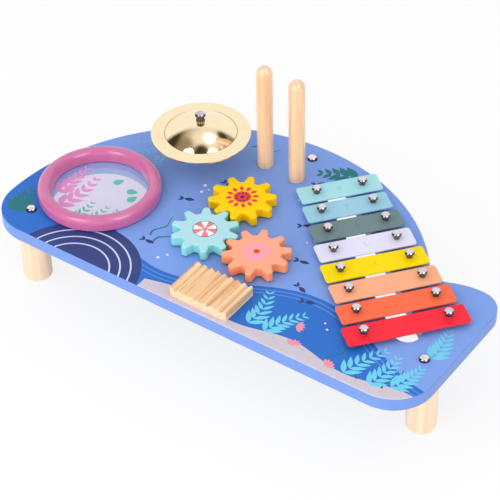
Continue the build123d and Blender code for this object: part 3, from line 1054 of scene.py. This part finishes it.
class RosetteTree(PatternTree):
    """Petals in a ring round each point, each pointing outwards."""

    name = "rosette"
    inputs = (
        PatternTree.start,
        Port("Unit", Kind.OBJECT),
        Port("Count", Kind.INTEGER, 8),
        Port("Ring Radius", value=0.004),
        Port("First Turn"),
        PatternTree.last,
    )

    def spread(self) -> Node:
        """Lay the petals round the points.

        Returns:
            The node that puts out the petals.
        """
        values = {"Vertices": self.entry["Count"], "Radius": self.entry["Ring Radius"]}
        ring = self.node("GeometryNodeMeshCircle", values)
        index = self.node("GeometryNodeInputIndex").outputs[0]
        turn = self.math("MULTIPLY", index, self.math("DIVIDE", 2 * math.pi, self.entry["Count"]))
        petals = self.instances(ring, self.entry["Unit"], Rotation=self.rotation(turn))
        return self.instances(self.entry["Geometry"], petals, Rotation=self.rotation(self.entry["First Turn"]))


class BubbleTree(PatternTree):
    """Discs of mixed sizes on the points."""

    name = "bubbles"
    inputs = (
        PatternTree.start,
        Port("Unit", Kind.OBJECT),
        Port("Least", value=0.5),
        Port("Most", value=1.3),
        Port("Seed", Kind.INTEGER, 4),
        PatternTree.last,
    )

    def spread(self) -> Node:
        """Lay the discs.

        Returns:
            The node that puts out the discs.
        """
        values = {2: self.entry["Least"], 3: self.entry["Most"], "Seed": self.entry["Seed"]}
        size = self.node("FunctionNodeRandomValue", values, data_type="FLOAT").outputs[1]
        return self.instances(self.entry["Geometry"], self.entry["Unit"], Scale=self.vector(size, size, 1.0))


# ---------------------------------------------------------------- sub-assemblies
@dataclass(frozen=True)
class FrondPrint:
    """Fronds that are printed as one piece. Places and sizes are in millimetres, angles in radians."""

    name: str
    ink: PrintInk
    stems: tuple[Stem, ...]
    leaf: Point
    pairs: int
    spread: float = 0.75
    fullness: float = 0.8
    lift: float = 0.0


@dataclass(frozen=True)
class PrintedFace:
    """A flat face of a body, whose prints are placed in millimetres from an origin."""

    height: float
    body: str
    slot: str
    origin: Point = (0.0, 0.0)

    def spot(self, x: float, y: float) -> Point:
        """A print's place, in metres from the part's own origin."""
        return ((self.origin[0] + x) * MM, (self.origin[1] + y) * MM)

    def flat(self, name: str, outlines: list[list[Point]], ink: PrintInk, lift: float = 1.0) -> None:
        """Print outlines.

        Args:
            name: The piece's name.
            outlines: The outlines, in metres.
            ink: Their ink.
            lift: How many times the usual lift the print stands proud.
        """
        piece = slab(name, outlines, self.height - PRINT_SINK, self.height + lift * PRINT_LIFT)
        carry(piece, self.body, ink)

    def fronds(self, fronds: FrondPrint, *others: Object) -> None:
        """Print fronds, each a thin layer above the one before.

        Args:
            fronds: What they are like.
            others: More prints that join their piece.
        """
        made = []
        for number, stem in enumerate(fronds.stems):
            outline = leaf_outline(fronds.leaf[0] * MM, fronds.leaf[1] * MM, fronds.fullness)
            unit = slab("leaf", [outline], 0.0, PRINT_LIFT + PRINT_SINK)
            low = self.height + fronds.lift * PRINT_LIFT + number * LAYER - PRINT_SINK
            line = bent_line([(self.origin[0] + x, self.origin[1] + y) for x, y in stem])
            values = {"Pairs": fronds.pairs, "Spread": fronds.spread}
            made.append(FrondTree.grow("frond", [(x, y, low) for x, y in line], fronds.ink, unit, **values))
        carry(join_meshes(fronds.name, [*made, *others]), self.body, fronds.ink)


@dataclass
class Board:
    """The printed top and what is printed on it. Places and sizes are in millimetres, turns in degrees."""

    paint: PrintedBoard = PrintedBoard()
    face: PrintedFace = PrintedFace(81.4 * MM, "table", "table_top")
    cyan: PrintInk = PrintInk("ink_cyan", srgb(112, 206, 236))
    teal: PrintInk = PrintInk("ink_teal", srgb(36, 118, 128))
    pale: PrintInk = PrintInk("ink_pale", srgb(232, 238, 250))
    pink: PrintInk = PrintInk("ink_pink", srgb(240, 148, 168))
    navy: PrintInk = PrintInk("ink_navy", srgb(52, 62, 118))
    fronds: tuple[FrondPrint, ...] = (
        FrondPrint(
            "printed_cyan_fronds",
            cyan,
            (
                ((62, -118), (66, -98), (56, -76)),
                ((80, -119), (84, -104), (98, -84)),
                ((168, -124), (172, -104), (184, -82)),
                ((194, -124), (200, -104), (198, -84)),
                ((212, -116), (220, -104), (222, -84)),
                ((222, -66), (225, -48), (218, -28)),
            ),
            leaf=(17, 5.2),
            pairs=7,
        ),
        FrondPrint(
            "printed_fine_fronds",
            cyan,
            (
                ((-160, 60), (-168, 50), (-182, 40)),
                ((-158, 50), (-162, 36), (-172, 24)),
                ((-150, 34), (-150, 24), (-142, 14)),
            ),
            leaf=(9, 1.8),
            pairs=6,
        ),
        FrondPrint(
            "printed_teal_leaves",
            teal,
            (((-216, -114), (-220, -100), (-222, -84)), ((30, 112), (14, 108), (-2, 100))),
            leaf=(20, 9),
            pairs=5,
        ),
    )
    # length, x, y and turn
    ribbons: tuple[tuple[float, Place], ...] = (
        (46, (-78, -76, 64)),
        (34, (-86, -70, 82)),
        (34, (146, -122, 72)),
        (30, (206, -122, 78)),
        (26, (182, -124, 110)),
        (30, (-84, 96, 20)),
    )
    bubbles: tuple[Point, ...] = (
        (-84, 10), (-80, 16), (-87, 20), (2, 52), (6, 58), (-1, 63), (72, 92), (78, 87), (80, 95),
        (-60, -92), (-55, -84), (120, -80), (126, -86), (44, 4), (49, 9), (-6, -88),
    )
    bubble_radius: float = 1.5 * MM
    bubble_lift: float = 0.6
    # x, y and turn, and then each leaf's length, width, fullness and lean
    sprigs: tuple[Place, ...] = (
        (-92, -8, 20), (-72, 34, -15), (26, 22, 35), (52, -22, 10),
        (72, -52, -20), (88, -66, 15), (2, 82, 40), (-86, -78, 0),
    )
    sprig_leaves: tuple[Leaf, ...] = ((11, 4.6, 1, 0), (6, 2.6, 1, 150), (6, 2.6, 1, 210))
    fans: tuple[Place, ...] = ((28, -124, 80), (112, -121, 105), (150, -126, 70), (100, -98, 20))
    fan_leaves: tuple[Leaf, ...] = tuple((9, 3.2, 1.4, lean) for lean in (-50, -25, 0, 25, 50))

    def build(self) -> None:
        """Dress the top and print it."""
        dress(self.paint, "table_top")
        for fronds in self.fronds:
            self.face.fronds(fronds)
        weeds = []
        for length, (x, y, turn) in self.ribbons:
            weeds.append(moved(ribbon_outline(length * MM), self.face.spot(x, y), turn))
        self.face.flat("printed_weeds", weeds, self.teal, lift=0.7)
        points = [(*self.face.spot(x, y), self.face.height - PRINT_SINK) for x, y in self.bubbles]
        thickness = self.bubble_lift * PRINT_LIFT + PRINT_SINK
        unit = slab("disc", [disc_outline(self.bubble_radius)], 0.0, thickness)
        carry(BubbleTree.grow("printed_bubbles", points, self.pale, unit), "table", self.pale)
        self.face.flat("printed_sprigs", self.clusters(self.sprigs, self.sprig_leaves), self.navy, lift=0.8)
        self.face.flat("printed_fans", self.clusters(self.fans, self.fan_leaves), self.pink, lift=1.9)

    def clusters(self, places: Sequence[Place], leaves: Sequence[Leaf]) -> list[list[Point]]:
        """Outlines of leaves that spring from shared places.

        Args:
            places: X, Y and turn of each cluster.
            leaves: Length, width, fullness and lean of each of its leaves.

        Returns:
            The outlines, in metres.
        """
        made = []
        for x, y, turn in places:
            for length, width, fullness, lean in leaves:
                outline = leaf_outline(length * MM, width * MM, fullness)
                made.append(moved(outline, self.face.spot(x, y), turn + lean))
        return made


@dataclass
class Legs:
    """Dowel legs with their bolts and inserts."""

    wood: ClearWood = ClearWood("leg_wood", srgb(252, 222, 192), srgb(230, 188, 148), 0.8)
    # the bolts' steep faces get a painted shade
    chrome: BrightMetal = BrightMetal(
        "bolt_chrome", srgb(238, 226, 228), srgb(214, 204, 208), 0.14, srgb(96, 84, 86)
    )
    zinc: BrightMetal = BrightMetal("insert_zinc")

    def build(self) -> None:
        """Dress the legs, the bolts and the inserts."""
        dress(self.wood, "front_left_leg", "front_right_leg", "back_leg")
        dress(self.chrome, "leg_bolts")
        dress(self.zinc, "leg_inserts")


@dataclass
class Drum:
    """The ring, its translucent film and the film's print, whose places are from the ring's middle."""

    face: PrintedFace = PrintedFace(81.8 * MM, "table", "drum_skin", (-164.9, -46.8))
    # the ring's foot gets a painted contact shadow up to 82.2 mm
    ring: Paint = Paint(
        "ring_pink", srgb(204, 106, 157), 1.0, 0.2, cloud=0.05, coat_roughness=0.16, foot=82.2 * MM
    )
    film: DrumFilm = DrumFilm()
    pink: PrintInk = PrintInk("film_pink", srgb(232, 152, 208))
    teal: PrintInk = PrintInk("film_teal", srgb(96, 196, 182))
    zinc: BrightMetal = BrightMetal("ring_screw_zinc")
    fronds: FrondPrint = FrondPrint(
        "film_pink_fronds",
        pink,
        (((-34, -22), (-34, -2), (-34, 20)), ((-22, -36), (-12, -16), (-16, 12))),
        leaf=(17, 7),
        pairs=6,
        spread=0.7,
    )
    sprigs: FrondPrint = FrondPrint(
        "film_teal_sprigs",
        teal,
        (
            ((2, -44), (6, -34), (4, -18)),
            ((14, -43), (20, -32), (20, -16)),
            ((27, -37), (33, -27), (32, -14)),
        ),
        leaf=(11, 3.6),
        pairs=5,
        lift=1.0,
    )
    # x, y and turn
    drops: tuple[Place, ...] = ((2, 18, 60), (20, 16, 20), (30, 4, 70))
    drop_size: Point = (12 * MM, 8 * MM)
    drop_fullness: float = 0.7
    drop_lift: float = 1.9

    def build(self) -> None:
        """Dress the drum and print its film."""
        dress(self.ring, "drum_ring")
        dress(self.film, "drum_skin")
        dress(self.zinc, "drum_ring_screws")
        self.face.fronds(self.fronds)
        drop = leaf_outline(*self.drop_size, self.drop_fullness)
        outlines = [moved(drop, self.face.spot(x, y), turn) for x, y, turn in self.drops]
        height = self.face.height
        drops = slab("drops", outlines, height - PRINT_SINK, height + self.drop_lift * PRINT_LIFT)
        self.face.fronds(self.sprigs, drops)


@dataclass
class Cymbal:
    """The brass cymbal and the stand that it turns on."""

    # the crease at 35.9 mm gets a painted shade line
    brass: SpunBrass = SpunBrass(
        "spun_brass", srgb(254, 236, 200), srgb(250, 228, 186), (-117.3 * MM, 56.0 * MM, 0.0), 35.9 * MM
    )
    wood: ClearWood = ClearWood("post_wood", srgb(255, 224, 190), srgb(232, 190, 146))
    felt: SoftStuff = SoftStuff("cymbal_felt", srgb(224, 220, 210), srgb(190, 186, 176), 1400.0, 0.2 * MM, 0.95)
    nylon: SoftStuff = SoftStuff("cymbal_nylon", srgb(150, 118, 84), srgb(128, 98, 68))
    # painted shade on the steep faces, and a painted neck shade below the seat at 131.9 mm
    chrome: BrightMetal = BrightMetal(
        "cymbal_chrome", srgb(214, 202, 210), srgb(192, 182, 192), 0.14, srgb(116, 106, 112), 131.9 * MM
    )
    zinc: BrightMetal = BrightMetal("post_screw_zinc")

    def build(self) -> None:
        """Dress the cymbal, its post and its fastenings."""
        dress(self.brass, "cymbal")
        dress(self.wood, "cymbal_post")
        dress(self.felt, "cymbal_felt")
        dress(self.nylon, "cymbal_washer")
        dress(self.chrome, "cymbal_screw")
        dress(self.zinc, "cymbal_post_screw")


@dataclass
class GearTrain:
    """Three painted gears with a generic motif on each."""

    face: float = 93.4 * MM
    # each side colour is a painted shade for how light falls on the gears' upright sides
    yellow: Paint = Paint("gear_yellow", srgb(255, 208, 0), 0.05, 0.08, srgb(255, 204, 0))
    teal: Paint = Paint("gear_teal", srgb(176, 222, 232), side=srgb(142, 220, 218))
    orange: Paint = Paint("gear_orange", srgb(254, 170, 138), side=srgb(255, 156, 106))
    axle: ClearWood = ClearWood("axle_wood", srgb(245, 214, 176), srgb(220, 180, 136))
    zinc: BrightMetal = BrightMetal("retainer_zinc")
    nylon: SoftStuff = SoftStuff("spacer_nylon", srgb(236, 236, 230), srgb(220, 220, 214))
    red: PrintInk = PrintInk("motif_red", srgb(232, 66, 62))
    white: PrintInk = PrintInk("motif_white", srgb(250, 246, 244))
    navy: PrintInk = PrintInk("motif_navy", srgb(48, 54, 96))
    coral: PrintInk = PrintInk("motif_coral", srgb(234, 128, 132))
    rose: PrintInk = PrintInk("motif_rose", srgb(252, 160, 196))
    eyelet: float = 2.2 * MM
    sun_ray: Point = (7.5 * MM, 4.2 * MM)
    sun_radius: float = 8.6 * MM
    sun_dot: float = 0.9 * MM
    ball_stripe: Point = (2.4 * MM, 11.0 * MM)
    ball_rim: Point = (11.1 * MM, 11.7 * MM)
    wedge_count: int = 10
    daisy_petal: Point = (10.5 * MM, 5.4 * MM)
    daisy_eye: float = 3.0 * MM

    def build(self) -> None:
        """Dress the gears and print their motifs."""
        for name in ("yellow", "teal", "orange"):
            dress(getattr(self, name), f"{name}_gear")
            dress(self.axle, f"{name}_gear_axle")
            dress(self.zinc, f"{name}_gear_retainer", f"{name}_gear_screw")
        dress(self.nylon, "gear_spacers")
        self.add_sun()
        self.add_ball()
        self.add_flower()

    def middle(self, gear: str) -> Point:
        """A gear's middle, from its axle."""
        low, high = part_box(f"{gear}_gear_axle")
        return ((low.x + high.x) / 2, (low.y + high.y) / 2)

    def ring(
        self, name: str, gear: str, petal: list[Point], ink: PrintInk, count: int, radius: float, turn: float
    ) -> None:
        """Print a ring of petals on a gear.

        Args:
            name: The piece's name.
            gear: The gear's name.
            petal: Outline of one petal, pointing to +X.
            ink: The petals' ink.
            count: Number of petals.
            radius: Radius at the petals' feet.
            turn: Turn of the first petal, in degrees.
        """
        unit = slab("petal", [petal], 0.0, PRINT_LIFT + PRINT_SINK)
        values = {"Count": count, "Ring_Radius": radius, "First_Turn": math.radians(turn)}
        spot = (*self.middle(gear), self.face - PRINT_SINK)
        carry(RosetteTree.grow(name, [spot], ink, unit, **values), f"{gear}_gear", ink)

    def flat(self, name: str, gear: str, outlines: list[list[Point]], ink: PrintInk, lift: float = 1.0) -> None:
        """Print outlines, given from a gear's middle, on the gear."""
        face = PrintedFace(self.face, f"{gear}_gear", f"{gear}_paint")
        face.flat(name, [moved(outline, self.middle(gear)) for outline in outlines], ink, lift)

    def add_sun(self) -> None:
        """Print a red sun with a dotted middle on the yellow gear."""
        ray, dot = leaf_outline(*self.sun_ray), disc_outline(self.sun_dot, 14)
        self.ring("sun_rays", "yellow", ray, self.red, count=12, radius=9.2 * MM, turn=8.0)
        self.flat("sun_disc", "yellow", [disc_outline(self.sun_radius, 40)], self.red)
        self.ring("sun_dots", "yellow", dot, self.white, count=9, radius=5.6 * MM, turn=0.0)
        self.flat("sun_eyelet", "yellow", [disc_outline(self.eyelet)], self.navy, lift=2.0)

    def add_ball(self) -> None:
        """Print a striped ball on the teal gear."""
        wedge = 2 * math.pi / self.wedge_count
        starts = [index * wedge for index in range(self.wedge_count)]
        stripes = [sector_outline(*self.ball_stripe, start, wedge) for start in starts]
        rim = [sector_outline(*self.ball_rim, start, wedge) for start in starts]
        self.flat("ball_coral", "teal", stripes[::2], self.coral)
        self.flat("ball_white", "teal", stripes[1::2], self.white)
        self.flat("ball_eyelet", "teal", [disc_outline(self.eyelet)], self.coral)
        self.flat("ball_rim", "teal", rim, self.navy)

    def add_flower(self) -> None:
        """Print a rose daisy on the orange gear."""
        petal = leaf_outline(*self.daisy_petal, fullness=1.5)
        self.ring("daisy_petals", "orange", petal, self.rose, count=9, radius=3.4 * MM, turn=12.0)
        self.flat("daisy_middle", "orange", [disc_outline(self.daisy_eye)], self.red)


@dataclass
class ChimeSet:
    """Eight enamelled bars, numbered, on felts, with collared screws."""

    bars: tuple[tuple[str, Colour], ...] = (
        ("red", srgb(250, 46, 64)),
        ("orange", srgb(255, 112, 76)),
        ("peach", srgb(255, 176, 136)),
        ("yellow", srgb(254, 220, 0)),
        ("white", srgb(228, 226, 248)),
        ("grey", srgb(114, 136, 140)),
        ("blue", srgb(156, 206, 226)),
        ("mint", srgb(168, 224, 232)),
    )
    bar_turn: float = 50.8
    digit_height: float = 9.0 * MM
    digit_tint: float = 0.8
    felt: SoftStuff = SoftStuff("bar_felt", srgb(214, 208, 200), srgb(176, 170, 162), 1400.0, 0.2 * MM, 0.95)
    rubber: SoftStuff = SoftStuff(
        "collar_rubber", srgb(150, 142, 140), srgb(122, 114, 112), 700.0, 0.02 * MM, 0.5
    )
    # painted shade on the steep faces, and a painted neck shade below the seat at 92.5 mm
    chrome: BrightMetal = BrightMetal(
        "chime_chrome", srgb(226, 220, 226), srgb(204, 198, 206), 0.12, srgb(128, 122, 128), 92.5 * MM
    )

    def build(self) -> None:
        """Dress the bars and their fastenings, and number the bars."""
        enamel = {"coat_roughness": 0.15, "peel_scale": 520.0, "peel_depth": 0.015 * MM, "peel_strength": 0.6}
        for number, (shade, colour) in enumerate(self.bars, 1):
            dress(Paint(f"enamel_{number}", colour, 0.08, 0.08, **enamel), f"chime_bar_{number}")
            self.add_digit(number, colour)
        dress(self.felt, "chime_felts")
        dress(self.rubber, "chime_collars")
        dress(self.chrome, "chime_screws")

    def add_digit(self, number: int, colour: Colour) -> None:
        """Press a plain number into a bar's middle.

        Args:
            number: The bar's number.
            colour: Its colour.
        """
        low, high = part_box(f"chime_bar_{number}")
        text = bpy.data.curves.new("digit", "FONT")
        text.body = str(number)
        text.size = self.digit_height
        text.align_x = text.align_y = "CENTER"
        text.extrude = PRINT_LIFT
        name = f"bar_digit_{number}"
        mesh = plain_mesh(add_object("digit", text), name)
        place = Matrix.Translation(((low.x + high.x) / 2, (low.y + high.y) / 2, high.z))
        mesh.transform(place @ Matrix.Rotation(math.radians(self.bar_turn), 4, "Z"))
        ink = PrintInk(f"digit_ink_{number}", (*[level * self.digit_tint for level in colour[:3]], 1.0))
        carry(add_object(name, mesh), "table", ink)


@dataclass
class ScraperAndBeaters:
    """The ridged block and the two round-ended beaters."""

    block: ClearWood = ClearWood(
        "scraper_wood", srgb(255, 224, 184), srgb(218, 154, 92), 1.15, 0.05, 0.2, way=GrainWay.ACROSS
    )
    stick: ClearWood = ClearWood("beater_wood", srgb(255, 212, 168), srgb(236, 178, 128), 1.0, 1.0, 0.4, 0.18)
    zinc: BrightMetal = BrightMetal("scraper_screw_zinc")

    def build(self) -> None:
        """Dress the block, its screws and the beaters."""
        dress(self.block, "scraper")
        dress(self.zinc, "scraper_screws")
        dress(self.stick, "left_beater", "right_beater")


# ---------------------------------------------------------------- studio
@dataclass(frozen=True)
class SoftBox:
    """A studio lamp, a rectangle that lights bodies or an oval that only gleams on glossy ones."""

    name: str
    place: Place
    size: Point
    power: float
    gleam: bool = False
    aim: Place = (0.0, 0.0, 0.08)

    def build(self) -> None:
        """Add the lamp, aimed at the table."""
        lamp = bpy.data.lights.new(self.name, "AREA")
        lamp.shape = "ELLIPSE" if self.gleam else "RECTANGLE"
        lamp.size, lamp.size_y = self.size
        lamp.energy = self.power
        holder = add_object(self.name, lamp)
        holder.location = self.place
        way = Vector(self.aim) - Vector(self.place)
        holder.rotation_euler = way.to_track_quat("-Z", "Y").to_euler()
        holder.visible_diffuse = not self.gleam
        holder.visible_glossy = self.gleam


@dataclass(frozen=True)
class Glow:
    """A round patch of the room that metal mirrors, with a soft edge between two angles in degrees."""

    way: Place
    inner: float
    outer: float
    colour: Colour


@dataclass
class Studio:
    """A pale floor, soft light and the camera."""

    camera_place: Place = (0.83092, -1.17357, 1.28473)
    camera_azimuth: float = 35.944
    camera_elevation: float = 40.551
    camera_roll: float = -1.2036
    lens: float = 141.80
    sensor: float = 36.0
    floor_half: float = 4.0
    floor_colour: Colour = srgb(250, 250, 250)
    floor_glow: float = 0.8
    sky_strength: float = 0.86
    far: Place = (-0.578, 0.816, 0.0)
    backdrop: Point = (-0.38, -0.56)
    near_wall: Point = (0.66, 0.78)
    dusk: Colour = (0.28, 0.23, 0.18, 1.0)
    pale: Colour = (0.62, 0.60, 0.58, 1.0)
    lamps: tuple[SoftBox, ...] = (
        SoftBox("key", (-0.8, -1.15, 1.55), (1.3, 1.3), 5.6),
        SoftBox("front", (0.2, -2.0, 0.5), (2.0, 0.8), 16.5),
        SoftBox("fill", (1.6, -0.5, 0.7), (1.2, 1.0), 3.5),
        SoftBox("left_gleam", (-0.36, -1.64, 1.56), (1.10, 1.55), 18.0, True),
        SoftBox("right_gleam", (1.55, -0.36, 1.56), (1.15, 1.55), 18.0, True),
    )
    glows: tuple[Glow, ...] = (
        Glow((-0.38, -0.04, 0.92), 8.0, 32.0, (0.46, 0.40, 0.33, 1.0)),
        Glow((0.15, 0.15, 0.977), 8.0, 47.0, (0.95, 0.92, 0.88, 1.0)),
        Glow((0.20, 0.20, 0.958), 6.0, 16.0, (1.7, 1.9, 2.2, 1.0)),
        Glow((-0.40, -0.46, 0.79), 2.0, 25.0, (0.31, 0.25, 0.18, 1.0)),
        Glow((0.30, -0.42, 0.86), 8.0, 21.0, (0.05, 0.04, 0.03, 1.0)),
        Glow((0.32, 0.62, 0.72), 4.0, 13.0, (0.05, 0.04, 0.03, 1.0)),
        Glow((-0.92, -0.12, 0.37), 16.0, 36.0, (0.04, 0.035, 0.025, 1.0)),
    )

    def build(self) -> None:
        """Set up the view, the floor, the sky, the lamps and the camera."""
        bpy.context.scene.view_settings.view_transform = "Standard"
        self.add_floor()
        self.add_sky()
        for lamp in self.lamps:
            lamp.build()
        self.add_camera()

    def add_floor(self) -> None:
        """Add the floor: it takes shadows, and shows nearly white to the camera."""
        half = self.floor_half
        mesh = bpy.data.meshes.new("floor")
        corners = [(-half, -half, 0), (half, -half, 0), (half, half, 0), (-half, half, 0)]
        mesh.from_pydata(corners, [], [(0, 1, 2, 3)])
        material = bpy.data.materials.new("floor_paper")
        graph = Graph(empty_tree(material))
        paper = graph.node("ShaderNodeBsdfDiffuse", {"Color": self.floor_colour})
        glow = graph.node("ShaderNodeEmission", {"Color": WHITE})
        path = graph.node("ShaderNodeLightPath").outputs
        seen = graph.math("MAXIMUM", path["Is Camera Ray"], path["Is Glossy Ray"])
        seen = graph.math("MAXIMUM", seen, path["Is Transmission Ray"])
        share = graph.math("MULTIPLY", seen, self.floor_glow)
        blend = graph.node("ShaderNodeMixShader", {0: share, 1: paper, 2: glow})
        graph.node("ShaderNodeOutputMaterial", {"Surface": blend})
        mesh.materials.append(material)
        add_object("floor", mesh)

    def add_sky(self) -> None:
        """Add the even light of a white room."""
        world = bpy.context.scene.world = bpy.data.worlds.new("white_room")
        graph = Graph(empty_tree(world))
        path = graph.node("ShaderNodeLightPath").outputs
        colour = graph.mix(path["Is Glossy Ray"], WHITE, self.room(graph))
        seen = graph.math("MAXIMUM", path["Is Camera Ray"], path["Is Glossy Ray"])
        strength = graph.math("MULTIPLY_ADD", seen, 1.0 - self.sky_strength, self.sky_strength)
        light = graph.node("ShaderNodeBackground", {"Color": colour, "Strength": strength})
        graph.node("ShaderNodeOutputWorld", {"Surface": light})

    def room(self, graph: Graph) -> Socket:
        """The studio as metal mirrors it: a white backdrop, a dim room and soft patches of light.

        Args:
            graph: The world's graph.

        Returns:
            The room's colour.
        """
        ray = graph.node("ShaderNodeTexCoord").outputs["Generated"]
        ahead = graph.vector_math("DOT_PRODUCT", ray, self.far).outputs["Value"]
        behind = graph.math("MULTIPLY", ahead, -1.0)
        colour = graph.mix(graph.ramp(behind, *self.near_wall), self.dusk, self.pale)
        for glow in self.glows:
            way = tuple(Vector(glow.way).normalized())
            near = graph.vector_math("DOT_PRODUCT", ray, way).outputs["Value"]
            bounds = (math.cos(math.radians(angle)) for angle in (glow.outer, glow.inner))
            lit = graph.ramp(near, *bounds)
            colour = graph.mix(lit, colour, glow.colour)
        return graph.mix(graph.ramp(behind, *self.backdrop), colour, WHITE)

    def add_camera(self) -> None:
        """Add the camera."""
        lens = bpy.data.cameras.new("camera")
        lens.sensor_width = self.sensor
        lens.lens = self.lens
        camera = add_object("camera", lens)
        turn = Matrix.Rotation(math.radians(self.camera_azimuth), 4, "Z")
        tilt = Matrix.Rotation(math.radians(90 - self.camera_elevation), 4, "X")
        roll = Matrix.Rotation(math.radians(self.camera_roll), 4, "Z")
        camera.matrix_world = Matrix.Translation(self.camera_place) @ turn @ tilt @ roll
        bpy.context.scene.camera = camera


def main() -> None:
    """Build the sub-assemblies in order, then the studio."""
    logging.basicConfig(level=logging.INFO, format="%(name)s: %(message)s")
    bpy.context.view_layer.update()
    for assembly in (Board(), Legs(), Drum(), Cymbal(), GearTrain(), ChimeSet(), ScraperAndBeaters()):
        LOG.info("building %s", type(assembly).__name__)
        assembly.build()
    Studio().build()


if __name__ == "__main__":
    main()
